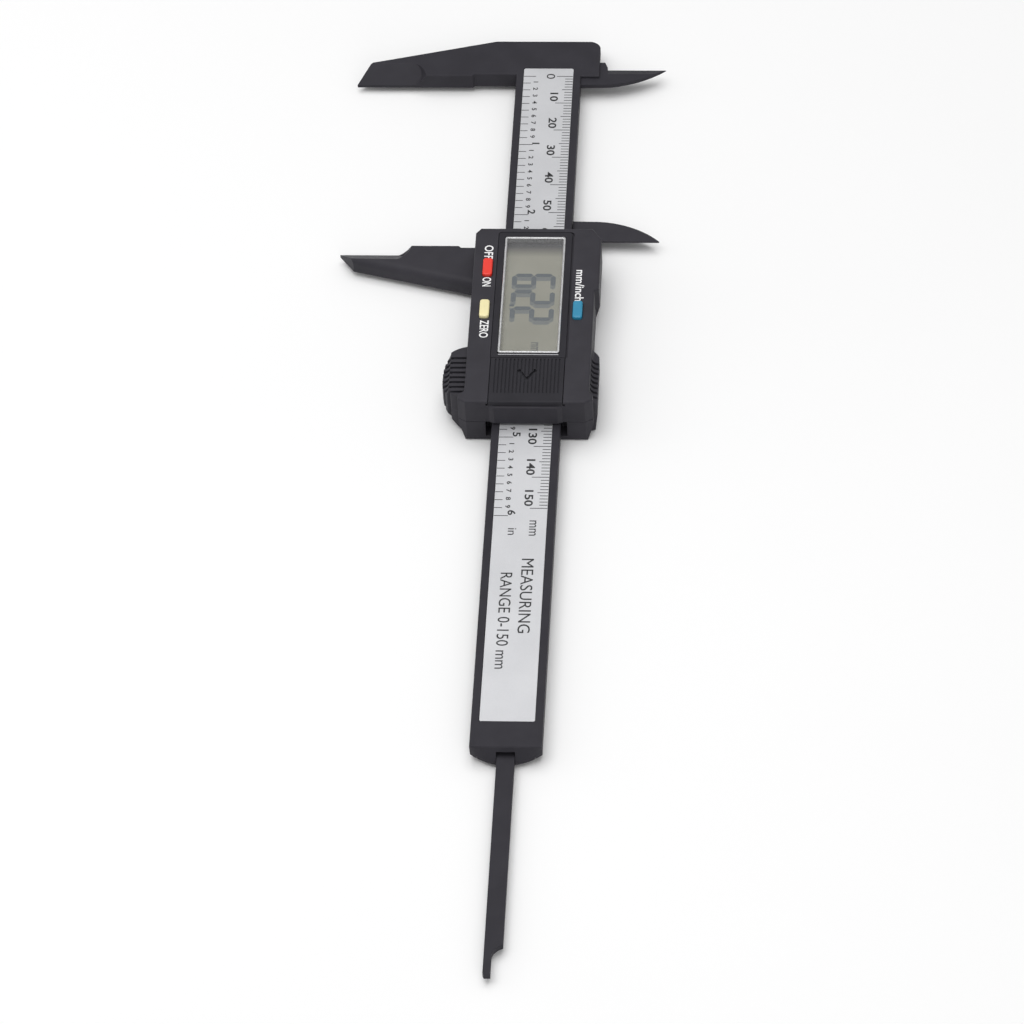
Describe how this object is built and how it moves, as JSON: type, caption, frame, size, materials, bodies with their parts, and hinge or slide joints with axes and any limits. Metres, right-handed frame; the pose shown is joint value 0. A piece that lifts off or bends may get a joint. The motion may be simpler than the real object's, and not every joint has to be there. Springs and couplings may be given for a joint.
{
  "type": "digital caliper",
  "caption": "Digital caliper: flat beam with printed scale label, fixed and sliding jaws, slider with display and push buttons, and a depth rod from the tail.",
  "frame": {"origin": "centre of the slider's flat back face, on which the caliper rests", "axes": "+Y along the beam towards the fixed jaw, outside jaws towards -X, +Z out of the display"},
  "size_m": [0.0769, 0.2986, 0.0133],
  "materials": {
    "graphite_plastic": "fine moulded texture, satin",
    "case_plastic": "fine spark-eroded texture",
    "silver_label": "printed metallised film, satin",
    "silver_trim": "bright silver plating",
    "clear_window": "clear polished plastic",
    "lcd": "grey-green liquid crystal display",
    "holder_plastic": "plain moulded plastic",
    "elastomer": "conductive silicone rubber",
    "circuit_laminate": "green solder mask",
    "copper": "etched copper",
    "epoxy": "black potting epoxy",
    "ceramic_parts": "surface-mount parts",
    "steel": "zinc-plated or nickel steel",
    "spring_steel": "nickel-plated spring strip",
    "red_plastic": "moulded, satin gloss",
    "yellow_plastic": "moulded, satin gloss",
    "blue_plastic": "moulded, satin gloss"
  },
  "bodies": {
    "beam": {"beam_and_fixed_jaw": "graphite_plastic", "scale_circuit_strip": "circuit_laminate", "scale_label": "silver_label", "rod_guide_plate": "graphite_plastic"},
    "slider": {"slider_body": "graphite_plastic", "front_cover": "case_plastic", "display_bezel": "case_plastic", "display_frame": "silver_trim", "display_window": "clear_window", "lcd_glass": "lcd", "lcd_holder": "holder_plastic", "lcd_connector": "elastomer", "circuit_board": "circuit_laminate", "sensor_electrodes": "copper", "controller_chip": "epoxy", "board_components": "ceramic_parts", "coin_cell": "steel", "battery_contact_negative": "spring_steel", "battery_contact_positive": "spring_steel", "button_pads": "elastomer", "depth_rod": "graphite_plastic", "rod_screw": "steel", "housing_screws": "steel", "gib_spring": "spring_steel"},
    "battery_cover": {"battery_cover": "case_plastic"},
    "power_button": {"power_button": "red_plastic"},
    "zero_button": {"zero_button": "yellow_plastic"},
    "unit_button": {"unit_button": "blue_plastic"}
  },
  "joints": [
    {"name": "slider_travel", "type": "slide", "parent": "beam", "child": "slider", "axis": [0, -1, 0], "range_m": [-0.06215, 0.0898]},
    {"name": "battery_cover_slide", "type": "slide", "parent": "slider", "child": "battery_cover", "axis": [0, -1, 0], "range_m": [0, 0.018]},
    {"name": "power_button_press", "type": "slide", "parent": "slider", "child": "power_button", "axis": [0, 0, -1], "range_m": [0, 0.0005], "stiffness_N_per_m": 1500},
    {"name": "zero_button_press", "type": "slide", "parent": "slider", "child": "zero_button", "axis": [0, 0, -1], "range_m": [0, 0.0005], "stiffness_N_per_m": 1500},
    {"name": "unit_button_press", "type": "slide", "parent": "slider", "child": "unit_button", "axis": [0, 0, -1], "range_m": [0, 0.0005], "stiffness_N_per_m": 1500}
  ]
}
